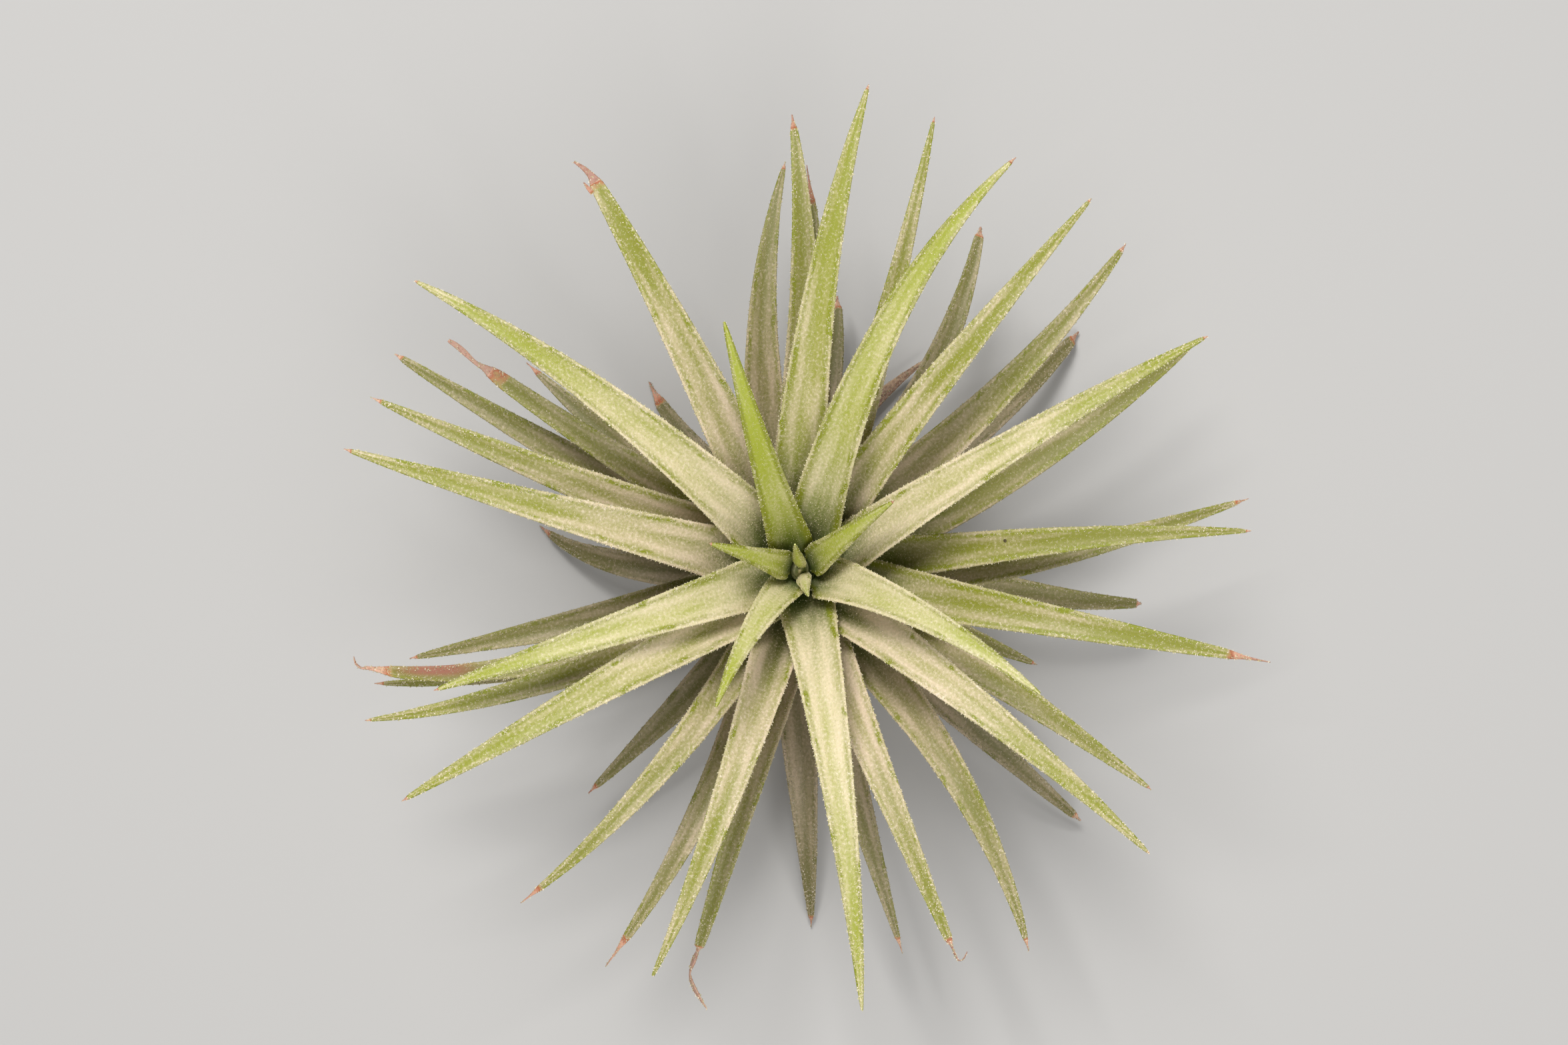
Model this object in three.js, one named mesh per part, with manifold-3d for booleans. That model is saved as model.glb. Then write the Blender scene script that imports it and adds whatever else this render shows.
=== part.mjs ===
// A sky plant: an air plant that grows without soil, a rosette of narrow, channelled, silvery leaves.
// Units are millimetres and +Z is up. The origin is the centre of the stem's flat foot, which stands
// on the surface. +X is the right of the photograph and +Y its top, so the photograph looks down on it.
import * as THREE from "three";
import { mergeVertices } from "three/addons/utils/BufferGeometryUtils.js";
import Module from "manifold-3d";

// The spiral in which the leaves stand, counted by age from the youngest, in the middle, outwards.
const GOLDEN_ANGLE = 137.5;
const FIRST_AZIMUTH = 77;
const LIVE_LEAVES = 53;

// The short stem, a slim cone on a rounded heel with a flat foot: radii and heights.
const FOOT_RADIUS = 4.4;
const HEEL_RADIUS = 5.8;
const HEEL_HEIGHT = 0.9;
const STEM_RADIUS = 6.6;
const STEM_SHOULDER = 2.6;
const STEM_TOP_RADIUS = 0.6;
const STEM_TOP_ROUNDING = 0.4;
const STEM_HEIGHT = 27.6;
const STEM_SIDES = 24;

// The leaves' roots on it: the height of the youngest, how far each step of the spiral drops, how much
// more the young ones drop, and the gap that every leaf keeps to the stem's skin.
const YOUNGEST_ROOT = 28.4;
const SPIRAL_DROP = 0.25;
const CROWN_DROP = 1.62;
const LEAF_GAP = 0.3;

// The blade: its thickness, the depth of its channel for its width, how fast it narrows, and its point.
const SHEATH_THICKNESS = 0.64;
const BLADE_THICKNESS = 1;
const EDGE_THICKNESS = 0.6;
const CHANNEL_DEPTH = 0.2;
const NARROWING = 0.8;
const TIP_WIDTH = 0.62;

// The sheath at its foot: its root's width as a share of its own, how far it stands outside the circle
// about the stem, and the most that a section bends round, as the sine of half its arc.
const ROOT_WIDTH = 0.8;
const SHEATH_SLACK = 0.6;
const SHEATH_WRAP = 0.5;
const BLADE_WRAP = 0.9;

// The stretches over which a leaf changes its form, as shares of its length from root to point.
const WIDENS = [0, 0.12];
const UNWRAPS = [0.05, 0.3];
const THICKENS = [0.1, 0.3];
const BECOMES_CHANNEL = [0.12, 0.45];
const THINS = [0.6, 1];

// How finely a leaf is cut: sections along it, and points across each face.
const LEAF_STEPS = 10;
const ARC_POINTS = 4;

// How steeply a leaf leaves the stem, in degrees: the youngest nearly upright, each older one less. The
// two holds say how long it keeps its way at the root and at the point, as shares of its span.
const YOUNGEST_RISE = 84;
const RISE_STEP = 0.8;
const ROOT_HOLD = 0.3;
const TIP_HOLD = 0.46;

// One row for each live leaf, youngest first. Angles are in degrees, lengths in millimetres:
// out: the way it first leans, as an azimuth
// tip, reach, height: where its point is, as an azimuth, a distance from the axis and a height
// turn: how far the point heads to the left of straight outwards
// nod: how steeply the point heads up, or down where it is negative
// width: across the sheath, the widest place
const LEAVES = [
  { out: 90, tip: 101, reach: 3, height: 37, turn: 0, nod: 74, width: 2.6 },
  { out: 290, tip: 288, reach: 3, height: 36, turn: 0, nod: 72, width: 2.8 },
  { out: 163, tip: 163, reach: 10.5, height: 42, turn: 1, nod: 48, width: 4.6 },
  { out: 34, tip: 37, reach: 13, height: 43, turn: -1, nod: 44, width: 4.8 },
  { out: 200, tip: 238, reach: 17.5, height: 45, turn: 12, nod: 36, width: 5.2 },
  { out: 109, tip: 107, reach: 28.5, height: 48, turn: -2, nod: 18, width: 6.2 },
  { out: 365, tip: 333, reach: 29.5, height: 45, turn: -12, nod: 6, width: 6.4 },
  { out: 196, tip: 198, reach: 42.5, height: 43, turn: 1, nod: -6, width: 7.4 },
  { out: 84, tip: 62.5, reach: 51.5, height: 43, turn: -20, nod: -6, width: 7.4 },
  { out: 283, tip: 278, reach: 49, height: 42, turn: -4, nod: -6, width: 7.4 },
  { out: 128, tip: 143, reach: 53.5, height: 41, turn: 10, nod: -7, width: 8 },
  { out: 34, tip: 30, reach: 52, height: 42, turn: -3, nod: -7, width: 7.4 },
  { out: 211, tip: 210, reach: 51, height: 41, turn: 1, nod: -7, width: 7.6 },
  { out: 97, tip: 82, reach: 54.5, height: 41, turn: -9, nod: -7, width: 8.2 },
  { out: 323, tip: 321, reach: 50, height: 40, turn: -5, nod: -8, width: 7 },
  { out: 167, tip: 165, reach: 52.5, height: 40, turn: -2, nod: -8, width: 7.8 },
  { out: 78, tip: 52, reach: 52.5, height: 40, turn: -3, nod: -8, width: 7 },
  { out: 244, tip: 250, reach: 48, height: 39, turn: -5, nod: -8, width: 7 },
  { out: 120, tip: 119, reach: 52.5, height: 38, turn: 3, nod: -9, width: 7.8 },
  { out: 348, tip: 349, reach: 53.5, height: 38, turn: 0, nod: -9, width: 7.4 },
  { out: 205, tip: 199, reach: 51.5, height: 37, turn: -12, nod: -9, width: 6.2 },
  { out: 56, tip: 73.5, reach: 53, height: 37, turn: 4, nod: -9, width: 5.6 },
  { out: 290, tip: 292, reach: 46, height: 36, turn: 1, nod: -10, width: 6.2 },
  { out: 158, tip: 158, reach: 52, height: 35, turn: -2, nod: -10, width: 7.2 },
  { out: 355, tip: 5, reach: 51, height: 34.5, turn: -5, nod: -10, width: 6.4 },
  { out: 236, tip: 230, reach: 49, height: 34, turn: -12, nod: -10, width: 7 },
  { out: 90, tip: 91, reach: 51.5, height: 33, turn: 7, nod: -11, width: 7.6 },
  { out: 345, tip: 328, reach: 47, height: 32, turn: -5, nod: -11, width: 7 },
  { out: 198, tip: 192, reach: 52, height: 31, turn: -23, nod: -11, width: 5.4 },
  { out: 38, tip: 45, reach: 52.5, height: 30, turn: 9, nod: -12, width: 7 },
  { out: 259, tip: 255, reach: 45, height: 30, turn: -2, nod: -12, width: 6.4 },
  { out: 160, tip: 147, reach: 48.5, height: 29, turn: -10, nod: -12, width: 6 },
  { out: 345, tip: 9, reach: 52, height: 28, turn: 9, nod: -12, width: 6.6 },
  { out: 203, tip: 195, reach: 50.5, height: 27, turn: -14, nod: -13, width: 5.6 },
  { out: 87, tip: 89, reach: 46.5, height: 26, turn: 9, nod: -13, width: 5.6 },
  { out: 309, tip: 301, reach: 50.5, height: 31, turn: -16, nod: -13, width: 7 },
  { out: 150, tip: 152, reach: 53, height: 23, turn: -4, nod: -13, width: 6.4 },
  { out: 12, tip: 30, reach: 53.5, height: 22, turn: 10, nod: -14, width: 7.8 },
  { out: 247, tip: 244, reach: 51.5, height: 21, turn: -10, nod: -14, width: 6.8 },
  { out: 101, tip: 92, reach: 47.5, height: 20, turn: -16, nod: -14, width: 7.4 },
  { out: 338, tip: 338, reach: 30, height: 19, turn: -1, nod: -14, width: 6 },
  { out: 193, tip: 193, reach: 47, height: 17, turn: -1, nod: -15, width: 6.6 },
  { out: 45, tip: 62, reach: 45.5, height: 16, turn: 17, nod: -15, width: 6.2 },
  { out: 284, tip: 285, reach: 47, height: 15, turn: 2, nod: -15, width: 6.2 },
  { out: 147, tip: 143, reach: 40.5, height: 13, turn: -6, nod: -15, width: 6.2 },
  { out: 354, tip: 354, reach: 41, height: 10, turn: 5, nod: -16, width: 6.4 },
  { out: 230, tip: 227, reach: 37, height: 8, turn: -3, nod: -16, width: 6.4 },
  { out: 79, tip: 82, reach: 33, height: 6, turn: 9, nod: -16, width: 6 },
  { out: 317, tip: 318, reach: 46, height: 2.4, turn: 1, nod: -33, width: 6.4 },
  { out: 184, tip: 171, reach: 32, height: 0.5, turn: -30, nod: -36, width: 6.2 },
  { out: 36, tip: 40, reach: 44.5, height: 0.5, turn: 9, nod: -36, width: 6.4 },
  { out: 270, tip: 272, reach: 44, height: 0.5, turn: 0, nod: -36, width: 6.6 },
  { out: 131, tip: 129, reach: 29, height: 0.5, turn: -13, nod: -38, width: 6.2 },
];

// The withered leaves below them, which lie low over the surface: the spiral's next three places.
const DRIED_LEAVES = [
  { out: 352, tip: 344, reach: 24, height: 1, turn: -30, nod: -12, width: 4.4 },
  { out: 208, tip: 214, reach: 25, height: 1, turn: 34, nod: -12, width: 4.4 },
  { out: 80, tip: 58, reach: 30, height: 2.4, turn: -24, nod: 8, width: 4.2 },
];
const DRIED_RISE = 16;

// The wiry roots round the foot: the azimuth where each starts, how far from the axis it ends, and how
// far it bends round.
const ROOTS = [
  { azimuth: 20, reach: 13, bend: 40 },
  { azimuth: 95, reach: 10, bend: -50 },
  { azimuth: 160, reach: 14.5, bend: 30 },
  { azimuth: 245, reach: 11.5, bend: -35 },
  { azimuth: 310, reach: 12.5, bend: 45 },
];
const ROOT_THICKNESS = 0.9;
const ROOT_DEPTH = 3;
const ROOT_START = 1.6;
const ELBOW_HEIGHT = 1.1;
const ELBOW_REACH = 0.6;
const ROOT_LIFT = 0.05;
const ROOT_ARCH = 0.2;
const ROOT_SIDES = 6;
const ROOT_STEPS = 8;

const wasm = await Module();
wasm.setup();

const radians = THREE.MathUtils.degToRad;
const mix = THREE.MathUtils.lerp;

// How far a place on a leaf is through a stretch of it, eased at both ends.
function through(t, [from, to]) {
  return THREE.MathUtils.smoothstep(t, from, to);
}

// The stem's radius at a height, on the cone above its shoulder.
function stemRadius(height) {
  const along = (height - STEM_SHOULDER) / (STEM_HEIGHT - STEM_SHOULDER);
  return mix(STEM_RADIUS, STEM_TOP_RADIUS, THREE.MathUtils.clamp(along, 0, 1));
}

// The height at which a leaf of a given age is rooted.
function rootHeight(age) {
  return YOUNGEST_ROOT - SPIRAL_DROP * age - CROWN_DROP * Math.sqrt(age);
}

// A point at an azimuth, a distance from the axis and a height.
function around(azimuth, distance, height) {
  const angle = radians(azimuth);
  return new THREE.Vector3(distance * Math.cos(angle), distance * Math.sin(angle), height);
}

// A direction at an azimuth and an elevation.
function heading(azimuth, elevation) {
  const tilt = radians(elevation);
  return around(azimuth, Math.cos(tilt), Math.sin(tilt));
}

// A leaf's middle line: up from the stem, then out to its point in one arch.
function leafLine(age, leaf) {
  const azimuth = FIRST_AZIMUTH - GOLDEN_ANGLE * age;
  const rise = age < LIVE_LEAVES ? YOUNGEST_RISE - RISE_STEP * age : DRIED_RISE;
  const height = rootHeight(age);
  const clear = stemRadius(height) + LEAF_GAP + (SHEATH_THICKNESS / 2) * Math.sin(radians(rise));
  const root = around(azimuth, clear, height);
  const point = around(leaf.tip, leaf.reach, leaf.height);
  const span = root.distanceTo(point);
  const lower = heading(leaf.out, rise).multiplyScalar(ROOT_HOLD * span).add(root);
  const upper = heading(leaf.tip + leaf.turn, leaf.nod).multiplyScalar(-TIP_HOLD * span).add(point);
  return new THREE.CubicBezierCurve3(root, lower, upper, point);
}

// A leaf's solid: crescent sections along its line, hollow side up. Near the stem they hug its axis,
// and further out they close to the blade's own channel. Each section runs along the upper face and
// back along the lower one, and both faces are cut into triangles alike.
function leafGeometry(age, leaf) {
  const line = leafLine(age, leaf);
  const azimuth = FIRST_AZIMUTH - GOLDEN_ANGLE * age;
  const sideways = around(azimuth + 90, 1, 0);
  const positions = [];
  const ring = 2 * ARC_POINTS;
  for (let step = 0; step <= LEAF_STEPS; step += 1) {
    const t = step / LEAF_STEPS;
    const centre = line.getPoint(t);
    const along = line.getTangent(t);
    const across = sideways.clone().addScaledVector(along, -sideways.dot(along)).normalize();
    const inward = along.clone().cross(across);
    const widest = leaf.width * mix(ROOT_WIDTH, 1, through(t, WIDENS));
    const width = TIP_WIDTH + (widest - TIP_WIDTH) * (1 - t) ** NARROWING;
    const aboutStem = 1 / (Math.hypot(centre.x, centre.y) + SHEATH_SLACK);
    const channel = (8 * CHANNEL_DEPTH) / (width * (1 + 4 * CHANNEL_DEPTH ** 2));
    const radius = 1 / mix(aboutStem, channel, through(t, BECOMES_CHANNEL));
    const wrap = mix(SHEATH_WRAP, BLADE_WRAP, through(t, UNWRAPS));
    const half = Math.asin(Math.min(width / 2 / radius, wrap));
    const body = mix(SHEATH_THICKNESS, BLADE_THICKNESS, through(t, THICKENS));
    const middle = mix(body, EDGE_THICKNESS, through(t, THINS));
    for (let k = 0; k < ring; k += 1) {
      const upper = k < ARC_POINTS;
      const place = upper ? k : ring - 1 - k;
      const share = (2 * place) / (ARC_POINTS - 1) - 1;
      const thickness = mix(middle, EDGE_THICKNESS, share ** 2);
      const from = radius + (upper ? -thickness / 2 : thickness / 2);
      const angle = share * half;
      const spot = centre.clone();
      spot.addScaledVector(inward, radius - from * Math.cos(angle));
      spot.addScaledVector(across, from * Math.sin(angle));
      positions.push(spot.x, spot.y, spot.z);
    }
  }
  const faces = [];
  for (let step = 0; step < LEAF_STEPS; step += 1) {
    for (let k = 0; k < ring; k += 1) {
      const next = (k + 1) % ring;
      const a = step * ring + k;
      const b = step * ring + next;
      const c = a + ring;
      const d = b + ring;
      if (k < ARC_POINTS) faces.push(a, d, b, a, c, d);
      else faces.push(a, c, b, b, c, d);
    }
  }
  const last = LEAF_STEPS * ring;
  for (let k = 0; k < ARC_POINTS - 1; k += 1) {
    const far = ring - 1 - k;
    faces.push(k, far - 1, far, k, k + 1, far - 1);
    faces.push(last + k, last + far, last + far - 1, last + k, last + far - 1, last + k + 1);
  }
  const geometry = new THREE.BufferGeometry();
  geometry.setAttribute("position", new THREE.Float32BufferAttribute(positions, 3));
  geometry.setIndex(faces);
  geometry.computeVertexNormals();
  return geometry;
}

// A closed mesh as a solid for joining, and back.
function toSolid(geometry) {
  const bare = geometry.clone();
  bare.deleteAttribute("normal");
  bare.deleteAttribute("uv");
  const merged = mergeVertices(bare, 1e-4);
  const vertProperties = merged.attributes.position.array;
  const triVerts = new Uint32Array(merged.index.array);
  return new wasm.Manifold(new wasm.Mesh({ numProp: 3, vertProperties, triVerts }));
}

function fromSolid(solid) {
  const mesh = solid.getMesh();
  const geometry = new THREE.BufferGeometry();
  geometry.setAttribute("position", new THREE.BufferAttribute(mesh.vertProperties, 3));
  geometry.setIndex(new THREE.BufferAttribute(mesh.triVerts, 1));
  geometry.computeVertexNormals();
  return geometry;
}

// A wiry root: out of the stem's shoulder, down to the surface and along it in a bend.
function wiryRoot({ azimuth, reach, bend }) {
  const lying = ROOT_THICKNESS / 2 + ROOT_LIFT;
  const path = new THREE.CatmullRomCurve3([
    around(azimuth, STEM_RADIUS - ROOT_DEPTH, ROOT_START),
    around(azimuth, STEM_RADIUS + ELBOW_REACH, ELBOW_HEIGHT),
    around(azimuth + bend / 5, (STEM_RADIUS + reach) / 2, lying + ROOT_ARCH),
    around(azimuth + bend, reach, lying),
  ]);
  const section = new THREE.Shape();
  section.absarc(0, 0, ROOT_THICKNESS / 2, 0, 2 * Math.PI);
  return new THREE.ExtrudeGeometry(section, {
    steps: ROOT_STEPS,
    curveSegments: ROOT_SIDES / 2,
    extrudePath: path,
  });
}

// The stem: a turned profile from the middle of its foot to its top, with its roots grown in.
function stemGeometry() {
  const profile = [
    [0, 0],
    [FOOT_RADIUS, 0],
    [HEEL_RADIUS, HEEL_HEIGHT],
    [STEM_RADIUS, STEM_SHOULDER],
    [STEM_TOP_RADIUS, STEM_HEIGHT - STEM_TOP_ROUNDING],
    [0, STEM_HEIGHT],
  ].map(([r, z]) => new THREE.Vector2(r, z));
  const turned = new THREE.LatheGeometry(profile, STEM_SIDES);
  turned.rotateX(Math.PI / 2);
  return fromSolid(ROOTS.reduce((body, root) => body.add(toSolid(wiryRoot(root))), toSolid(turned)));
}

function piece(name, geometry, color, roughness) {
  const material = new THREE.MeshStandardMaterial({ color, roughness, metalness: 0 });
  const mesh = new THREE.Mesh(geometry, material);
  mesh.name = name;
  return mesh;
}

const plant = new THREE.Group();
plant.name = "sky_plant";
plant.add(piece("stem", stemGeometry(), 0x8a7a52, 0.9));

LEAVES.forEach((leaf, age) => {
  const name = `leaf_${String(age + 1).padStart(2, "0")}`;
  const young = new THREE.Color(0x9aab3c);
  const color = young.lerp(new THREE.Color(0x8f9673), age / LIVE_LEAVES);
  plant.add(piece(name, leafGeometry(age, leaf), color, 0.7));
});

DRIED_LEAVES.forEach((leaf, place) => {
  const name = `dried_leaf_${place + 1}`;
  plant.add(piece(name, leafGeometry(LIVE_LEAVES + place, leaf), 0x8a5f44, 0.9));
});

export default plant;
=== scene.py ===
import math

import bpy
import numpy as np
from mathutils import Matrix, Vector, noise


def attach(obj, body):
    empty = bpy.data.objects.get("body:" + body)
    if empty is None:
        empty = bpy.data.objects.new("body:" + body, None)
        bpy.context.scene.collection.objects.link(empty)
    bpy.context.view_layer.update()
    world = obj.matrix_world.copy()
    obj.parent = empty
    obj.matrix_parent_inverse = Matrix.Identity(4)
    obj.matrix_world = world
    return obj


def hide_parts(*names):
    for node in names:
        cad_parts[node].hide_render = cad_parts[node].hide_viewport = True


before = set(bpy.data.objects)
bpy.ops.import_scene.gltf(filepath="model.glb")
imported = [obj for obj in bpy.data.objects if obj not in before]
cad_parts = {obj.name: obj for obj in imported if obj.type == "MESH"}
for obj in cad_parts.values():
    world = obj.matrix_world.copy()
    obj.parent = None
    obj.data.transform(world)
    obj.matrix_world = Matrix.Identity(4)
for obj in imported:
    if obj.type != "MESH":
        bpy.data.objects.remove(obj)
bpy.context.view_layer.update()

# The view: straight down on the rosette, close to. The top of the picture is the plant's +Y.
# The focal length is given in the picture's own pixels, and the sensor is an ordinary 36 mm one.
MM = 0.001
EYE = Vector((-1.8, 5.4, 440))
PICTURE_WIDTH_PX = 2352
FOCAL_LENGTH_PX = 5400
SENSOR_WIDTH = 36


def put_in_scene(name, data):
    """A new object in the scene with this mesh, lamp or camera."""
    thing = bpy.data.objects.new(name, data)
    bpy.context.scene.collection.objects.link(thing)
    return thing


camera_data = bpy.data.cameras.new("camera")
camera_data.sensor_width = SENSOR_WIDTH
camera_data.lens = FOCAL_LENGTH_PX / PICTURE_WIDTH_PX * SENSOR_WIDTH
camera = put_in_scene("camera", camera_data)
camera.location = EYE * MM
bpy.context.scene.camera = camera

# The live leaves: fleshy blades, each one piece from the thin sheath that clasps the stem to its point,
# channelled on the upper side. They grow in a spiral, a golden angle apart, the youngest in the middle.
# Lengths here are in millimetres and angles in degrees.

# The spiral, and the stem that it climbs.
GOLDEN_ANGLE = 137.5
FIRST_AZIMUTH = 77
LIVE_LEAVES = 53
YOUNGEST_ROOT = 28.4
SPIRAL_DROP = 0.25
CROWN_DROP = 1.62
STEM_HEIGHT = 27.6
STEM_SHOULDER = 2.6
STEM_RADIUS = 6.6
STEM_TOP_RADIUS = 0.6
LEAF_GAP = 0.3

# A leaf's section: how thick it is, its rims, and the fold and channel along its middle.
SHEATH_THICKNESS = 0.64
BLADE_THICKNESS = 1
POINT_THICKNESS = 0.5
MOST_THICKNESS_SHARE = 0.6
RIM_THICKNESS = 0.4
RIM_SHARE = 0.12
LEAST_RIM = 0.1
FOLD_SLOPE = 0.34
FOLD_ROUNDING = 0.25
FOLD_FLATTENS = 0.5
CHANNEL_DEPTH = 0.2

# How its width runs from root to point, and how far it wraps the stem, in radians to either side.
NARROWING = 0.8
TIP_WIDTH = 0.22
ROOT_WIDTH = 0.8
SHEATH_SLACK = 0.6
SHEATH_WRAP = 0.5
BLADE_WRAP = 0.9

# How steeply it leaves the stem, and how stiffly its arch holds the first and last directions.
YOUNGEST_RISE = 84
RISE_STEP = 0.8
ROOT_HOLD = 0.3
TIP_HOLD = 0.46
LEAF_STEPS = 80
TIP_CROWDING = 1.2
WIDENS_BY = 0.12

# The youngest leaves, which crowd the heart, are narrower at the root, and the first two are plump.
HEART_LEAVES = 8
HEART_ROOT_WIDTH = 0.5
HEART_WIDENS_BY = 0.45
HEART_CLOSES = 0.7
PLUMP_LEAVES = 2
PLUMPNESS = 2

# The stretches of a leaf, as shares of its length, over which its form changes.
UNWRAPS = (0.05, 0.3)
THICKENS = (0.1, 0.3)
BECOMES_CHANNEL = (0.12, 0.45)
THINS = (0.6, 1)

# One row for each live leaf, youngest first: the way it first leans; its point's azimuth, distance from
# the axis and height; the turn and nod of the point; its width; the share of it that has dried at the
# point, and how red that is, from straw at 0 to red-brown at 1; and how frosted with scales it is, which is
# partly the leaf's own coat and partly painted light and shade: more frost on leaves that lie in the light,
# less on those that lie in shadow.
LEAVES = [
    (90, 101, 3, 37, 0, 74, 2.2, 0, 0, 0.4),
    (290, 288, 3, 36, 0, 72, 2.6, 0, 0, 1.1),
    (163, 163, 10.5, 42, 1, 48, 4.6, 0.01, 0.3, 0.4),
    (34, 37, 13, 43, -1, 44, 4.8, 0.012, 0.6, 0.35),
    (200, 238, 17.5, 45, 12, 36, 5.2, 0, 0, 0.75),
    (109, 107, 28.5, 48, -2, 18, 6.2, 0, 0, 0.25),
    (365, 333, 29.5, 45, -12, 6, 6.4, 0, 0, 1),
    (196, 198, 42.5, 43, 1, -6, 7.4, 0.008, 0.4, 0.85),
    (84, 62.5, 51.5, 43, -20, -6, 7.4, 0.01, 0.6, 0.6),
    (283, 278, 49, 42, -4, -6, 7.4, 0, 0, 1),
    (128, 143, 53.5, 41, 10, -7, 8, 0.004, 0.1, 0.9),
    (34, 30, 52, 42, -3, -7, 7.4, 0.006, 0.3, 0.95),
    (211, 210, 51, 41, 1, -7, 7.6, 0.008, 0.4, 0.85),
    (97, 82, 54.5, 41, -9, -7, 8.2, 0.006, 0.6, 0.6),
    (323, 321, 50, 40, -5, -8, 7, 0.005, 0.4, 1),
    (167, 165, 52.5, 40, -2, -8, 7.8, 0.01, 0.4, 0.9),
    (78, 52, 52.5, 40, -3, -8, 7, 0.005, 0.3, 0.7),
    (244, 250, 48, 39, -5, -8, 7, 0, 0, 0.9),
    (120, 118, 52.5, 38, 3, -9, 7.8, 0.045, 0.8, 0.9),
    (348, 349, 53.5, 38, 0, -9, 7.4, 0.055, 0.6, 0.55),
    (205, 199, 51.5, 37, -12, -9, 6.2, 0.008, 0.4, 0.7),
    (56, 73.5, 53, 37, 4, -9, 5.6, 0.007, 0.6, 0.7),
    (290, 292, 46, 36, 1, -10, 6.2, 0.02, 0.5, 1),
    (158, 158, 52, 35, -2, -10, 7.2, 0.014, 0.1, 0.8),
    (355, 5, 51, 34.5, -5, -10, 6.4, 0.007, 0.3, 0.5),
    (236, 230, 49, 34, -12, -10, 5.8, 0.035, 0.8, 0.75),
    (90, 91, 51.5, 33, 7, -11, 7.6, 0.02, 0.8, 0.75),
    (345, 328, 47, 32, -5, -11, 7, 0.008, 0.4, 0.8),
    (198, 192, 52, 31, -23, -11, 5.4, 0.06, 0.3, 0.6),
    (38, 45, 52.5, 30, 9, -12, 7, 0.012, 0.6, 0.85),
    (259, 255, 45, 30, -2, -12, 5.4, 0.01, 0.3, 0.9),
    (160, 147, 48.5, 29, -3, -12, 5.2, 0.11, 0.45, 0.6),
    (345, 9, 52, 28, 9, -12, 6.6, 0.02, 0.4, 0.7),
    (203, 195, 50.5, 27, -14, -13, 5.6, 0.014, 0.5, 0.6),
    (87, 89, 46.5, 26, 9, -13, 5.6, 0.06, 0.85, 0.8),
    (309, 301, 50.5, 31, -16, -13, 7, 0.02, 0.5, 0.8),
    (150, 152, 53, 23, -4, -13, 6.4, 0.012, 0.1, 0.8),
    (12, 30, 53.5, 22, 10, -14, 7.8, 0.016, 0.5, 0.5),
    (247, 244, 51.5, 21, -10, -14, 6.2, 0.06, 0.7, 0.9),
    (101, 92, 47.5, 20, -16, -14, 7.4, 0.012, 0.5, 0.8),
    (338, 338, 30, 19, -1, -14, 6, 0.016, 0.7, 0.7),
    (193, 193, 47, 17, -1, -15, 6.6, 0.015, 0.5, 0.7),
    (45, 62, 45.5, 16, 17, -15, 6.2, 0.018, 0.55, 0.8),
    (284, 285, 47, 15, 2, -15, 6.2, 0.03, 0.1, 0.9),
    (147, 143, 40.5, 13, -6, -15, 6.2, 0.035, 0.8, 0.7),
    (354, 354, 41, 10, 5, -16, 6.4, 0.01, 0.4, 0.7),
    (230, 227, 37, 8, -3, -16, 5.6, 0.03, 0.95, 0.7),
    (79, 82, 33, 6, 9, -16, 6, 0.035, 0.45, 0.7),
    (317, 318, 46, 2.4, 1, -33, 5.4, 0.02, 0.1, 0.9),
    (184, 171, 32, 0.5, -30, -36, 6.2, 0.05, 0.8, 0.8),
    (36, 40, 44.5, 0.5, 9, -36, 6.4, 0.03, 0.75, 0.9),
    (270, 272, 44, 0.5, 0, -36, 6.6, 0.03, 0.75, 0.9),
    (131, 129, 29, 0.5, -13, -38, 5, 0.1, 0.9, 0.6),
]


def through(t, stretch):
    """How far t is through a stretch, from 0 to 1, eased at both ends."""
    share = np.clip((t - stretch[0]) / (stretch[1] - stretch[0]), 0, 1)
    return share * share * (3 - 2 * share)


def mix(a, b, share):
    return a + (b - a) * share


def around(azimuth, distance, height):
    """The point at this azimuth, distance from the axis and height."""
    angle = math.radians(azimuth)
    return np.array((distance * math.cos(angle), distance * math.sin(angle), height))


def heading(azimuth, elevation):
    tilt = math.radians(elevation)
    return around(azimuth, math.cos(tilt), math.sin(tilt))


def unit(vectors):
    return vectors / np.linalg.norm(vectors, axis=-1, keepdims=True)


# The points that a leaf lost as it dried: what stays of it is a wiry curl. For each such leaf, by its age:
# where the blade ends, as a share of its length, its width there, and the curl beyond it, as steps in
# millimetres along X, Y and Z from that end, each with the curl's width.
CURLS = {
    18: (0.95, 0.85, ((-0.5, 0.8, 0.1, 0.75), (-1.3, 1.6, 0.2, 0.5), (-2.4, 2.35, 0.3, 0.2))),
    22: (1, 0.6, (
        (0.2, -0.5, 0, 0.4), (0.6, -1.1, 0, 0.3), (1.1, -0.9, 0.1, 0.25), (1.5, -0.1, 0.3, 0.15),
    )),
    28: (0.975, 0.7, (
        (-0.5, -0.05, 0, 0.32), (-0.9, 0.15, 0.1, 0.34), (-1.25, 0.6, 0.3, 0.28), (-1.4, 1.3, 0.5, 0.12),
    )),
    30: (1, 1, (
        (-0.4, -1.1, 0, 0.9), (-0.85, -2.4, 0, 0.25), (-0.65, -3.4, 0.2, 0.6),
        (0, -4.7, 0.6, 0.65), (1.1, -6.4, 1.3, 0.12),
    )),
    31: (0.89, 0.85, (
        (-0.7, 0.5, 0, 0.75), (-1.8, 1.15, -0.1, 0.45), (-3.2, 2.45, -0.3, 0.65),
        (-4.2, 3.25, -0.5, 0.6), (-4.9, 3.7, -0.7, 0.4),
    )),
}

# Points that end blunt, by the leaf's age, with their widths.
BLUNT_POINTS = {26: 0.4, 29: 0.4, 36: 0.5, 42: 0.8, 45: 0.8, 46: 0.4, 47: 0.7, 48: 0.7, 50: 0.9, 52: 0.5}

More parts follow.
